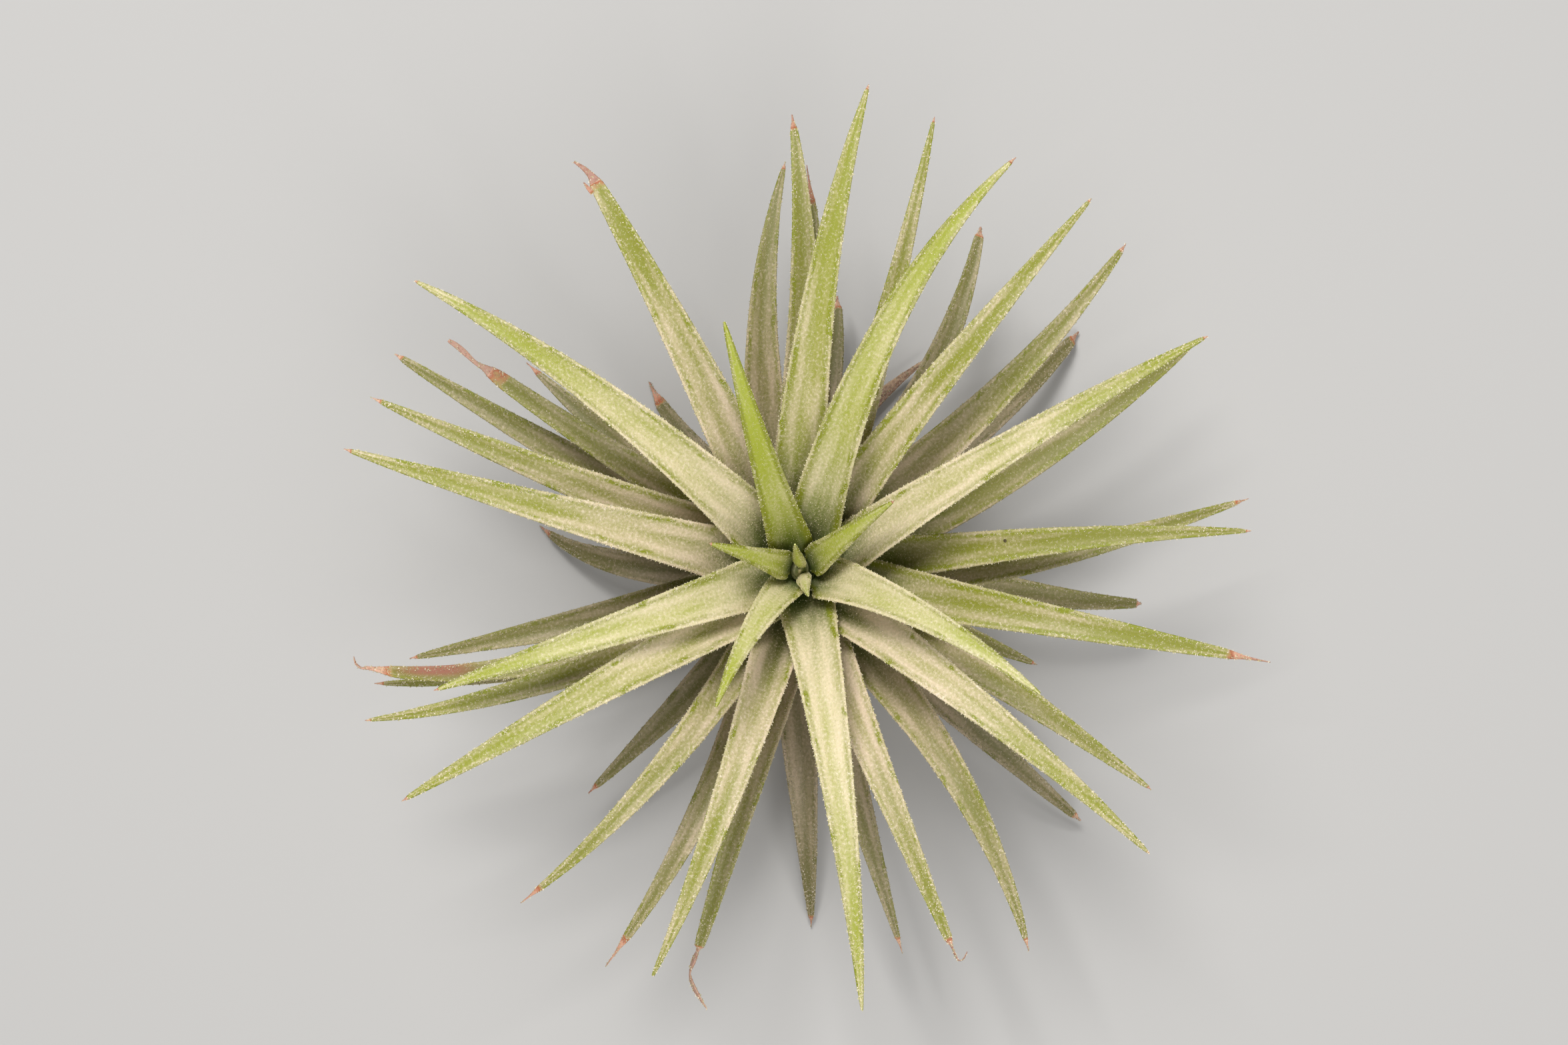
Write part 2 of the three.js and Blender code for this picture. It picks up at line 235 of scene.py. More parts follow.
# Drying is 0 where the dead point begins and 1 at its end. Over these stretches of it the blade shrinks
# and goes flat, twists, and loses its coat.
SHRIVELS = (-0.35, 0.5)
TWISTS = (-0.35, 1)
COAT_FALLS = (-0.35, 0.3)
DRY_SHRINKAGE = 0.5
DRY_FLATTENING = 0.5
DRY_TWIST = 70
COAT_LOSS = 0.8
CURL_STEPS = 6
CURL_FLATNESS = 0.5

# The purple-red flush near the point of one leaf, as shares of its length.
FLUSHED_LEAF = 28
FLUSH = ((0.75, 0.83), (0.87, 0.95))

# A leaf opens into a channel as it widens; the narrowest, in the heart, are nearly flat inside.
UNFOLDS = (2, 6)
LEAST_FOLD = 0.25

# How thick the mealy coat and the scales on it are from root to point.
COVER_PLACES = (0, 0.1, 0.3, 0.55, 0.8, 0.95, 1)
COVER = (0.1, 0.3, 0.9, 0.75, 0.42, 0.25, 0.2)
GRAINS = (0.05, 0.3, 0.8, 1, 0.95, 0.9, 0.9)
LEAST_GRAINS = 0.35


def smooth_line(points, steps):
    """A smooth line through points, with so many steps between each two."""
    slopes = np.gradient(points, axis=0)
    s = np.linspace(0, 1, steps, endpoint=False)[:, None]
    pieces = []
    for a, b, m, n in zip(points[:-1], points[1:], slopes[:-1], slopes[1:]):
        from_a, from_b = (2 * s**3 - 3 * s**2 + 1) * a, (3 * s**2 - 2 * s**3) * b
        pieces.append(from_a + (s**3 - 2 * s**2 + s) * m + from_b + (s**3 - s**2) * n)
    return np.vstack(pieces + [points[-1:]])


def leaf_path(age, row, rise, depth=CHANNEL_DEPTH):
    """A leaf's middle line and, at each point of it, what shapes the section there."""
    out, tip, reach, height, turn, nod, width, dried, redness, frost = row
    azimuth = FIRST_AZIMUTH - GOLDEN_ANGLE * age
    root_height = YOUNGEST_ROOT - SPIRAL_DROP * age - CROWN_DROP * math.sqrt(age)
    up_stem = np.clip((root_height - STEM_SHOULDER) / (STEM_HEIGHT - STEM_SHOULDER), 0, 1)
    youth = max(0, 1 - age / HEART_LEAVES)
    clear = mix(STEM_RADIUS, STEM_TOP_RADIUS, up_stem) + LEAF_GAP - HEART_CLOSES * youth
    root = around(azimuth, clear + SHEATH_THICKNESS / 2 * math.sin(math.radians(rise)), root_height)
    point = around(tip, reach, height)
    span = np.linalg.norm(point - root)
    lower = root + ROOT_HOLD * span * heading(out, rise)
    upper = point - TIP_HOLD * span * heading(tip + turn, nod)
    blade_end, tip_width, curl = CURLS.get(age, (1, BLUNT_POINTS.get(age, TIP_WIDTH), ()))

    t = blade_end * (1 - (1 - np.linspace(0, 1, LEAF_STEPS + 1)) ** TIP_CROWDING)
    s = t[:, None]
    line = (1 - s) ** 3 * root + 3 * (1 - s) ** 2 * s * lower + 3 * (1 - s) * s**2 * upper + s**3 * point
    slope = (1 - s) ** 2 * (lower - root) + 2 * (1 - s) * s * (upper - lower) + s**2 * (point - upper)
    along = unit(slope)
    sideways = around(azimuth + 90, 1, 0)
    across = unit(sideways - along * (along @ sideways)[:, None])
    root_share = mix(ROOT_WIDTH, HEART_ROOT_WIDTH, youth)
    widest = width * mix(root_share, 1, through(t, (0, mix(WIDENS_BY, HEART_WIDENS_BY, youth))))
    broad = tip_width + (widest - tip_width) * (1 - t) ** NARROWING
    dry = np.clip((t - 1 + dried) / dried, -1, 1) if dried else 0 * t - 1
    broad = broad * (1 - DRY_SHRINKAGE * through(dry, SHRIVELS))
    body = mix(SHEATH_THICKNESS, BLADE_THICKNESS, through(t, THICKENS))
    plump = mix(1, PLUMPNESS, max(0, 1 - age / PLUMP_LEAVES))
    middle = plump * mix(body, POINT_THICKNESS, through(t, THINS))
    middle = np.minimum(middle, MOST_THICKNESS_SHARE * math.sqrt(plump) * broad)

    # The dead point twists, and what is left of a lost one curls on from the blade's end.
    twist = np.radians(DRY_TWIST * (age < LIVE_LEAVES) * through(dry, TWISTS))[:, None]
    across = np.cos(twist) * across + np.sin(twist) * np.cross(along, across)
    if curl:
        bends = smooth_line(np.vstack([(0, 0, 0, broad[-1]), curl]), CURL_STEPS)[1:]
        line = np.vstack([line, line[-1] + bends[:, :3]])
        along = np.vstack([along, unit(np.gradient(line, axis=0))[len(t):]])
        for way in along[len(t):]:
            across = np.vstack([across, unit(across[-1] - way * (way @ across[-1]))])
        broad = np.concatenate([broad, bends[:, 3]])
        middle = np.concatenate([middle, CURL_FLATNESS * bends[:, 3]])
        dry = np.concatenate([dry, np.ones(len(bends))])
    place = np.concatenate([t, np.ones(len(line) - len(t))])

    channelled = np.clip((width - UNFOLDS[0]) / (UNFOLDS[1] - UNFOLDS[0]), LEAST_FOLD, 1)
    depth *= channelled
    about_stem = 1 / (np.hypot(line[:, 0], line[:, 1]) + SHEATH_SLACK)
    channel = 8 * depth / (broad * (1 + 4 * depth**2))
    bend = mix(about_stem, channel, through(place, BECOMES_CHANNEL))
    wrap = mix(SHEATH_WRAP, BLADE_WRAP, through(place, UNWRAPS))
    arc = np.arcsin(np.minimum(broad / 2 * bend, wrap))
    steps = np.linalg.norm(np.diff(line, axis=0), axis=1)
    flush = (age == FLUSHED_LEAF) * through(place, FLUSH[0]) * (1 - through(place, FLUSH[1]))
    coat_left = 1 - COAT_LOSS * through(dry, COAT_FALLS)
    return {
        "centre": line * MM,
        "across": across,
        "inward": np.cross(along, across),
        "along": along,
        "bend": bend / MM,
        "arc": arc,
        "thickness": middle * MM,
        "rim": np.minimum(RIM_THICKNESS, LEAST_RIM + RIM_SHARE * broad) * MM,
        "fold": channelled * through(place, BECOMES_CHANNEL) * (1 - DRY_FLATTENING * through(dry, SHRIVELS)),
        "place": place,
        "run": np.concatenate([[0], np.cumsum(steps)]),
        # The coat's thickness follows the leaf's frost, which is partly painted light and shade.
        "cover": frost * np.interp(place, COVER_PLACES, COVER) * coat_left,
        "grains": mix(LEAST_GRAINS, 1, frost) * np.interp(place, COVER_PLACES, GRAINS),
        "dry": dry,
        "redness": np.full(len(line), redness, float),
        "flush": flush,
        "age": np.full(len(line), age / LIVE_LEAVES, float),
    }


def mark_points(mesh, name, values):
    """Stores a number or a vector for each point of a mesh, for the node trees to read."""
    values = np.asarray(values, np.float32)
    kind, field = ("FLOAT_VECTOR", "vector") if values.ndim == 2 else ("FLOAT", "value")
    mesh.attributes.new(name, kind, "POINT").data.foreach_set(field, values.ravel())


def strand(name, path):
    """The middle line as a chain of edges, with what shapes the section as attributes."""
    mesh = bpy.data.meshes.new(name)
    mesh.from_pydata(path["centre"].tolist(), [(i, i + 1) for i in range(len(path["centre"]) - 1)], [])
    for layer, values in path.items():
        mark_points(mesh, layer, values)
    return put_in_scene(name, mesh)


def add(tree, kind, settings=None, links=None):
    """Adds a node with its settings, and links or sets its inputs."""
    node = tree.nodes.new(kind)
    for name, value in (settings or {}).items():
        setattr(node, name, value)
    for name, value in (links or {}).items():
        if isinstance(value, bpy.types.Node):
            tree.links.new(value.outputs[0], node.inputs[name])
        elif isinstance(value, bpy.types.NodeSocket):
            tree.links.new(value, node.inputs[name])
        else:
            node.inputs[name].default_value = value
    return node


# The commonest kinds of node, and settings that many share.
MATH, MIX, RANGE = "ShaderNodeMath", "ShaderNodeMix", "ShaderNodeMapRange"
NOISE, VECTOR_MATH = "ShaderNodeTexNoise", "ShaderNodeVectorMath"
TIMES = {"operation": "MULTIPLY"}
TIMES_PLUS = {"operation": "MULTIPLY_ADD"}
LESS = {"operation": "SUBTRACT"}
UNSIGNED = {"operation": "ABSOLUTE"}
SCALED = {"operation": "SCALE"}
NUMBER = {"data_type": "FLOAT"}
VECTOR = {"data_type": "FLOAT_VECTOR"}
COLOURS = {"data_type": "RGBA"}
SMOOTH = {"interpolation_type": "SMOOTHSTEP"}


def geometry_tree(name, inputs):
    """A new Geometry Nodes tree with one geometry in and out, and the sockets of what it is given."""
    tree = bpy.data.node_groups.new(name, "GeometryNodeTree")
    tree.interface.new_socket("Geometry", in_out="INPUT", socket_type="NodeSocketGeometry")
    tree.interface.new_socket("Geometry", in_out="OUTPUT", socket_type="NodeSocketGeometry")
    for label, kind in inputs.items():
        tree.interface.new_socket(label, in_out="INPUT", socket_type=f"NodeSocket{kind}")
    return tree, add(tree, "NodeGroupInput").outputs


def close_tree(tree, geometry, finish):
    """Ends a tree: what it has grown becomes one real mesh, in its material."""
    real = add(tree, "GeometryNodeRealizeInstances", links={"Geometry": geometry})
    painted = add(tree, "GeometryNodeSetMaterial", links={"Geometry": real, "Material": finish})
    add(tree, "NodeGroupOutput", links={"Geometry": painted})


def grow(source, tree, values, piece_name):
    """Runs a tree on an object and returns the result as a plain piece at the origin."""
    modifier = source.modifiers.new("grow", "NODES")
    modifier.node_group = tree
    for item in tree.interface.items_tree:
        if item.in_out == "INPUT" and item.name in values:
            modifier[item.identifier] = values[item.name]
    depsgraph = bpy.context.evaluated_depsgraph_get()
    evaluated = source.evaluated_get(depsgraph)
    mesh = bpy.data.meshes.new_from_object(evaluated, preserve_all_data_layers=True, depsgraph=depsgraph)
    source.modifiers.remove(modifier)
    mesh.name = piece_name
    return put_in_scene(piece_name, mesh)


blade_tree, given = geometry_tree(
    "channelled leaf",
    {
        "Rim roundness": "Float",
        "Fold slope": "Float",
        "Fold rounding": "Float",
        "Fold flattens": "Float",
        "Section points": "Int",
        "Ripple height": "Float",
        "Ripples per metre": "Float",
        "Ripple seed": "Float",
        "Skin": "Material",
    },
)
tree = blade_tree
path = add(tree, "GeometryNodeMeshToCurve", links={"Mesh": given["Geometry"]})
circle = add(tree, "GeometryNodeCurvePrimitiveCircle", links={"Resolution": given["Section points"]})
on_circle = add(tree, "GeometryNodeInputPosition")
ring = add(
    tree,
    "GeometryNodeStoreNamedAttribute",
    VECTOR,
    {"Geometry": circle.outputs["Curve"], "Name": "section", "Value": on_circle},
)
sweep = add(
    tree, "GeometryNodeCurveToMesh", links={"Curve": path, "Profile Curve": ring, "Fill Caps": True}
)
value_of = {
    name: add(tree, "GeometryNodeInputNamedAttribute", kind, {"Name": name}).outputs[0]
    for kind, names in (
        (VECTOR, ("section", "centre", "across", "inward")),
        (NUMBER, ("bend", "arc", "thickness", "rim", "fold", "run")),
    )
    for name in names
}
section = add(tree, "ShaderNodeSeparateXYZ", links={0: value_of["section"]})
share = section.outputs["X"]
share_squared = add(tree, MATH, TIMES, {0: share, 1: share})
thin_rim = add(tree, MATH, {"operation": "MINIMUM"}, {0: value_of["thickness"], 1: value_of["rim"]})
thickness = add(tree, MIX, links={0: share_squared, 2: value_of["thickness"], 3: thin_rim})
level = add(tree, MATH, UNSIGNED, {0: section.outputs["Y"]})
rounded = add(tree, MATH, {"operation": "POWER"}, {0: level, 1: given["Rim roundness"]})
side = add(tree, MATH, {"operation": "SIGN"}, {0: section.outputs["Y"]})
face = add(tree, MATH, TIMES, {0: rounded, 1: side})
half_face = add(tree, MATH, TIMES, {0: face, 1: 0.5})
offset = add(tree, MATH, TIMES, {0: half_face, 1: thickness})
radius = add(tree, MATH, {"operation": "DIVIDE"}, {0: 1.0, 1: value_of["bend"]})
reach = add(tree, MATH, LESS, {0: radius, 1: offset})
angle = add(tree, MATH, TIMES, {0: share, 1: value_of["arc"]})
sine = add(tree, MATH, {"operation": "SINE"}, {0: angle})
cosine = add(tree, MATH, {"operation": "COSINE"}, {0: angle})
out_sideways = add(tree, MATH, TIMES, {0: reach, 1: sine})
one_less_cosine = add(tree, MATH, LESS, {0: 1.0, 1: cosine})
arc_rise = add(tree, MATH, TIMES, {0: radius, 1: one_less_cosine})
flattening = add(tree, MATH, TIMES, {0: value_of["fold"], 1: given["Fold flattens"]})
kept = add(tree, MATH, LESS, {0: 1.0, 1: flattening})
arc_kept = add(tree, MATH, TIMES, {0: arc_rise, 1: kept})
sideways_squared = add(tree, MATH, TIMES, {0: out_sideways, 1: out_sideways})
rounding = given["Fold rounding"]
rounding_squared = add(tree, MATH, TIMES, {0: rounding, 1: rounding})
slant_squared = add(tree, MATH, {"operation": "ADD"}, {0: sideways_squared, 1: rounding_squared})
slant = add(tree, MATH, {"operation": "SQRT"}, {0: slant_squared})
rise = add(tree, MATH, LESS, {0: slant, 1: rounding})
folded = add(tree, MATH, TIMES, {0: rise, 1: given["Fold slope"]})
wall_rise = add(tree, MATH, TIMES_PLUS, {0: folded, 1: value_of["fold"], 2: arc_kept})
up = add(tree, MATH, TIMES_PLUS, {0: offset, 1: cosine, 2: wall_rise})
to_side = add(tree, VECTOR_MATH, SCALED, {0: value_of["across"], 3: out_sideways})
to_inside = add(tree, VECTOR_MATH, SCALED, {0: value_of["inward"], 3: up})
step = add(tree, VECTOR_MATH, {"operation": "ADD"}, {0: to_side, 1: to_inside})
spot = add(tree, VECTOR_MATH, {"operation": "ADD"}, {0: value_of["centre"], 1: step})
shaped = add(tree, "GeometryNodeSetPosition", links={"Geometry": sweep, "Position": spot})
where = add(tree, "GeometryNodeInputPosition")
ripple = add(
    tree,
    NOISE,
    {"noise_dimensions": "4D"},
    {"Vector": where, "W": given["Ripple seed"], "Scale": given["Ripples per metre"], "Detail": 2.0},
)
ripple_level = add(tree, MATH, LESS, {0: ripple.outputs[0], 1: 0.5})
ripple_height = add(tree, MATH, TIMES, {0: ripple_level, 1: given["Ripple height"]})
normal = add(tree, "GeometryNodeInputNormal")
lift = add(tree, VECTOR_MATH, SCALED, {0: normal, 3: ripple_height})
rippled = add(tree, "GeometryNodeSetPosition", links={"Geometry": shaped, "Offset": lift})
side_run = add(tree, MATH, TIMES, {0: out_sideways, 1: 1 / MM})
skin_place = add(
    tree, "ShaderNodeCombineXYZ", links={0: side_run, 1: value_of["run"], 2: given["Ripple seed"]}
)
marked = add(
    tree,
    "GeometryNodeStoreNamedAttribute",
    VECTOR,
    {"Geometry": rippled, "Name": "skin", "Value": skin_place},
)
smooth = add(tree, "GeometryNodeSetShadeSmooth", links={"Geometry": marked})
close_tree(tree, smooth, given["Skin"])

# The skin: satin green tissue under a mealy coat of scales, which lies in soft streaks along the blade.
# It is darker at the root, partly its own darker green and partly painted shade deep in the rosette, and
# clear yellow-green near the rims, where patches have rubbed bare. Old leaves are greyer and darker, partly
# with age and partly as painted shade low in the rosette, and the coat is thinner on a channel's floor as
# painted shade in the channel. A dead point turns from straw through dusky pink to brown. Sizes are in
# millimetres.
YOUNG_GREEN = "#a3ab34"
GROWN_GREEN = "#868826"
OLD_GREEN_AND_SHADE = "#6c663c"
ROOT_GREEN_AND_SHADE = "#5d6c30"
BARE_GREEN = "#878c22"
YOUNG_COAT = "#e9dcb4"
GROWN_COAT = "#e4cfb4"
OLD_COAT_AND_SHADE = "#baa58b"
FLUSH_RED = "#a9675d"
FLECK_WHITE = "#f2e6d0"

# The colours of a dead point as it dries, a pale one and a red one at each stage.
DRY_STAGES = (
    (-0.4, "#cbbd80", "#b89f68"),
    (-0.12, "#b8714a", "#a05a38"),
    (0.06, "#dcb294", "#c28c72"),
    (0.6, "#d6ac92", "#b88470"),
    (1, "#cda690", "#a07464"),
)
DRY_BLOTCH = "#8f5a45"
WITHERED_TAN = "#b4967a"
WITHERED_BROWN = "#6e4f3c"
DRY_EDGE_SIZE = 1.5
DRY_EDGE_DEPTH = 0.8

# A small dark speck: where it is on one leaf, as its side, run and age, and its radii.
SPECK_AT = (0.52, 26.9, 24)
SPECK_RADII = (0.16, 0.26)
SPECK_BROWN = "#4d4426"

# The patterns: sizes across the blade and along it, and the relief that they give the coat. The grain
# stands for the finest scales, and is drawn coarser than life so that it shows.
STREAK_SIZE = (1.5, 10)
GRAIN_SIZE = (0.3, 0.375)
PATCH_SIZE = (0.9, 2.6)
STREAK_SHARE = 0.6
COAT_RELIEF = 0.06

# Ages, as shares of the oldest live leaf's: a leaf is grown, then old, and past it withered. An old leaf's
# darker colour is partly its age and partly painted shade low in the rosette.
GROWS = (0.06, 0.3)
AGES = (0.3, 1)
WITHERS = (0.985, 0.995)

# What the coat gains or loses on a grown channel's floor, where its thinning is painted shade in the
# channel, by the rims, where it is rubbed, and at the edge.
CHANNEL_SHADE_COAT = -0.25
RIM_COAT = -0.25
RUBBED_COAT = -0.7
EDGE_COAT = 0.35
RIM_BAND = (0.05, 0.4)
COVER_WEIGHT = 0.5
LEAST_FLECKS = 0.42


def linear(hex_colour):
    """An sRGB hex colour as linear red, green, blue and alpha."""
    shares = [int(hex_colour[i:i + 2], 16) / 255 for i in (1, 3, 5)]
    return [s / 12.92 if s <= 0.04045 else ((s + 0.055) / 1.055) ** 2.4 for s in shares] + [1]


def new_material(name):
    """An empty material and its node tree."""
    material = bpy.data.materials.new(name)
    material.use_nodes = True
    material.node_tree.nodes.clear()
    return material, material.node_tree


def close_material(tree, look):
    """Ends a material: one surface with this look."""
    surface = add(tree, "ShaderNodeBsdfPrincipled", links=look)
    add(tree, "ShaderNodeOutputMaterial", links={"Surface": surface})


def in_from_rim(tree, on_skin, from_middle):
    """How far in from the nearer rim a spot of skin lies, in millimetres."""
    side_run = add(tree, "ShaderNodeSeparateXYZ", links={0: on_skin}).outputs["X"]
    side_distance = add(tree, MATH, UNSIGNED, {0: side_run})
    some_share = add(tree, MATH, {"operation": "MAXIMUM"}, {0: from_middle, 1: 0.01})
    half_width = add(tree, MATH, {"operation": "DIVIDE"}, {0: side_distance, 1: some_share})
    return add(tree, MATH, LESS, {0: half_width, 1: side_distance})


skin, tree = new_material("scaly leaf skin")
place, age, dry, redness, cover, flush, scaliness = (
    add(tree, "ShaderNodeAttribute", {"attribute_name": name}).outputs["Fac"]
    for name in ("place", "age", "dry", "redness", "cover", "flush", "grains")
)
on_skin, round_section = (
    add(tree, "ShaderNodeAttribute", {"attribute_name": name}).outputs["Vector"]
    for name in ("skin", "section")
)
section = add(tree, "ShaderNodeSeparateXYZ", links={0: round_section})
from_middle = add(tree, MATH, UNSIGNED, {0: section.outputs["X"]})
rim_distance = in_from_rim(tree, on_skin, from_middle)
growing, ageing, withered = (
    add(tree, RANGE, links={"Value": age, "From Min": start, "From Max": end})
    for start, end in (GROWS, AGES, WITHERS)
)

# The patterns, and where the dead point's ragged edge runs.
patterns = []
for (across, along), settings in (
    (STREAK_SIZE, {"Detail": 2.0}),
    (GRAIN_SIZE, {"Detail": 2.0, "Roughness": 0.6}),
    (PATCH_SIZE, {"Detail": 3.0}),
):
    spread = add(tree, "ShaderNodeMapping", links={"Vector": on_skin, "Scale": (1 / across, 1 / along, 1)})
    patterns.append(add(tree, NOISE, links={"Vector": spread, "Scale": 1.0, **settings}))
streaks, grain, patches = patterns
mottle = add(tree, MIX, links={0: STREAK_SHARE, 2: grain.outputs[0], 3: streaks.outputs[0]})
dry_edge = add(tree, NOISE, links={"Vector": on_skin, "Scale": 1 / DRY_EDGE_SIZE, "Detail": 2.0})
edge_shift = add(tree, MATH, TIMES_PLUS, {0: dry_edge, 1: DRY_EDGE_DEPTH, 2: -DRY_EDGE_DEPTH / 2})
dryness = add(tree, MATH, {"operation": "ADD"}, {0: dry, 1: edge_shift})
from_speck = add(tree, VECTOR_MATH, {"operation": "DISTANCE"}, {0: on_skin, 1: SPECK_AT})

# Where each thing shows: a measure, the stretch of it over which the share changes, and the shares at the
# stretch's two ends.
shows = {
    name: add(
        tree,
        RANGE,
        SMOOTH,
        {"Value": value, "From Min": start, "From Max": end, "To Min": first, "To Max": last},
    )
    for name, (value, start, end, first, last) in {
        # Towards the root: darker green, partly the leaf's own and partly painted shade deep in the rosette.
        "root": (place, 0.05, 0.5, 1, 0),
        "rim": (from_middle, 0.55, 0.85, 0, 1),
        "channel floor shade": (from_middle, 0.1, 0.5, 1, 0),
        "edge": (rim_distance, *RIM_BAND, 1, 0),
        "rubbed": (patches, 0.53, 0.72, 0, 1),
        "flecks": (grain, 0.54, 0.7, 0, 0.62),
        "blotches": (grain, 0.5, 0.7, 0, 0.6),
        "withered streaks": (mottle, 0.38, 0.62, 0, 1),
        "dead": (dryness, -0.4, -0.15, 0, 1),
        "speck": (from_speck.outputs["Value"], *SPECK_RADII, 1, 0),
        "flushed side": (section.outputs["X"], -0.3, 0.7, 0.8, 0.1),
    }.items()
}

# Green tissue, with the clear rims that a leaf loses as it ages. Old leaves go greyer and darker, partly
# with age and partly as painted shade low in the rosette, and the root goes darker green, partly its own
# colour and partly painted shade.
green = linear(YOUNG_GREEN)
for share, colour in ((growing, GROWN_GREEN), (ageing, OLD_GREEN_AND_SHADE), (shows["root"], ROOT_GREEN_AND_SHADE)):
    green = add(tree, MIX, COLOURS, {0: share, 6: green, 7: linear(colour)}).outputs[2]
bare = add(tree, MIX, COLOURS, {0: shows["rim"], 6: green, 7: linear(BARE_GREEN)}).outputs[2]
tissue = add(tree, MIX, COLOURS, {0: ageing, 6: bare, 7: green}).outputs[2]

# The coat: how thick it lies, and its colour.
upper_face = add(tree, RANGE, links={"Value": section.outputs["Y"], "From Min": 0, "From Max": 0.3})
# The thinner coat on a grown channel's upper floor is painted shade in the channel.
channel_shade_share = add(tree, MATH, TIMES, {0: shows["channel floor shade"], 1: upper_face})
grown_channel_shade = add(tree, MATH, TIMES, {0: channel_shade_share, 1: growing})
rubbed_rim = add(tree, MATH, TIMES, {0: shows["rubbed"], 1: shows["rim"]})
thickness = cover
for share, change in (
    (grown_channel_shade, CHANNEL_SHADE_COAT),
    (shows["rim"], RIM_COAT),
    (rubbed_rim, RUBBED_COAT),
    (shows["edge"], EDGE_COAT),
):
    thickness = add(tree, MATH, TIMES_PLUS, {0: share, 1: change, 2: thickness})
covered = add(tree, MATH, TIMES_PLUS, {0: thickness, 1: COVER_WEIGHT, 2: mottle})
coat = add(tree, RANGE, SMOOTH, {"Value": covered, "From Min": 0.48, "From Max": 1.12})
coat_colour = linear(YOUNG_COAT)
for share, colour in ((growing, GROWN_COAT), (ageing, OLD_COAT_AND_SHADE)):
    coat_colour = add(tree, MIX, COLOURS, {0: share, 6: coat_colour, 7: linear(colour)}).outputs[2]
fleck_place = add(tree, RANGE, links={"Value": shows["rim"], "To Min": LEAST_FLECKS})
fleck_cover = add(tree, MATH, TIMES, {0: fleck_place, 1: scaliness})
fleck_share = add(tree, MATH, TIMES, {0: shows["flecks"], 1: fleck_cover})
fleck_colour = add(tree, MIX, COLOURS, {0: ageing, 6: linear(FLECK_WHITE), 7: linear(OLD_COAT_AND_SHADE)})

# The flush, which shows between the streaks of the coat and more to one side.
between_streaks = add(
    tree, RANGE, SMOOTH, {"Value": covered, "From Min": 0.6, "From Max": 0.95, "To Min": 1, "To Max": 0.2}
)
flush_shape = add(tree, MATH, TIMES, {0: shows["flushed side"], 1: between_streaks})
flush_share = add(tree, MATH, TIMES, {0: flush, 1: flush_shape})

# Dead skin: the dry point's, and that of the leaves which have withered whole.
pale_dry, red_dry = linear(DRY_STAGES[0][1]), linear(DRY_STAGES[0][2])
for (start, *_), (end, pale, red) in zip(DRY_STAGES[:-1], DRY_STAGES[1:]):
    stage = add(tree, RANGE, links={"Value": dryness, "From Min": start, "From Max": end})
    pale_dry = add(tree, MIX, COLOURS, {0: stage, 6: pale_dry, 7: linear(pale)}).outputs[2]
    red_dry = add(tree, MIX, COLOURS, {0: stage, 6: red_dry, 7: linear(red)}).outputs[2]
dead_colour = add(tree, MIX, COLOURS, {0: redness, 6: pale_dry, 7: red_dry}).outputs[2]
withered_colour = add(
    tree, MIX, COLOURS, {0: shows["withered streaks"], 6: linear(WITHERED_BROWN), 7: linear(WITHERED_TAN)}
).outputs[2]
for share, colour in ((shows["blotches"], linear(DRY_BLOTCH)), (withered, withered_colour)):
    dead_colour = add(tree, MIX, COLOURS, {0: share, 6: dead_colour, 7: colour}).outputs[2]

# All of it, from the tissue outwards.
skin_colour = tissue
for share, colour in (
    (coat, coat_colour),
    (fleck_share, fleck_colour.outputs[2]),
    (flush_share, linear(FLUSH_RED)),
    (shows["dead"], dead_colour),
    (shows["speck"], linear(SPECK_BROWN)),
):
    skin_colour = add(tree, MIX, COLOURS, {0: share, 6: skin_colour, 7: colour}).outputs[2]
bump = add(tree, "ShaderNodeBump", links={"Strength": 0.8, "Distance": COAT_RELIEF * MM, "Height": covered})
close_material(tree, {
    "Base Color": skin_colour,
    "Normal": bump,
    "Roughness": 0.55,
    "IOR": 1.42,
    "Subsurface Weight": 0.1,
    "Subsurface Radius": (0.6, 1.0, 0.25),
    "Subsurface Scale": 0.6 * MM,
})

# How finely a section is drawn, how round its rims are, and the slow ripple of its faces.
SECTION_POINTS = 28
RIM_ROUNDNESS = 0.4
RIPPLE_HEIGHT = 0.12
RIPPLE_LENGTH = 5


def make_blade(node, path, seed, replaced=True):
    line = strand(node + "_line", path)
    values = {
        "Rim roundness": RIM_ROUNDNESS,
        "Fold slope": FOLD_SLOPE,
        "Fold rounding": FOLD_ROUNDING * MM,
        "Fold flattens": FOLD_FLATTENS,
        "Section points": SECTION_POINTS,
        "Ripple height": RIPPLE_HEIGHT * MM,
        "Ripples per metre": 1 / (RIPPLE_LENGTH * MM),
        "Ripple seed": float(seed),
        "Skin": skin,
    }
    blade = grow(line, blade_tree, values, node + "_blade")
    bpy.data.objects.remove(line)
    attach(blade, "root")
    if replaced:
        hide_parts(node)
    return blade


blades = []
for age, row in enumerate(LEAVES):
    node = f"leaf_{age + 1:02d}"
    leaf = leaf_path(age, row, YOUNGEST_RISE - RISE_STEP * age)
    blades.append(make_blade(node, leaf, age))

# The withered leaves under the live ones, papery and brown, which stand low and curl up as they dry.
# Their rows are as the live leaves', and they take the spiral's next places.
DRIED_LEAVES = [
    (352, 344, 24, 1, -30, -12, 4.4, 0.95, 0.7, 0.5),
    (208, 214, 25, 1, 34, -12, 4.4, 0.95, 0.6, 0.5),
    (80, 58, 30, 2.4, -24, 8, 8, 0.95, 0.75, 0.5),
]
DRIED_RISE = 16
WITHERED_DEPTH = 0.34

for place_below, row in enumerate(DRIED_LEAVES):
    node = f"dried_leaf_{place_below + 1}"
    leaf = leaf_path(LIVE_LEAVES + place_below, row, DRIED_RISE, WITHERED_DEPTH)
    blades.append(make_blade(node, leaf, LIVE_LEAVES + place_below))

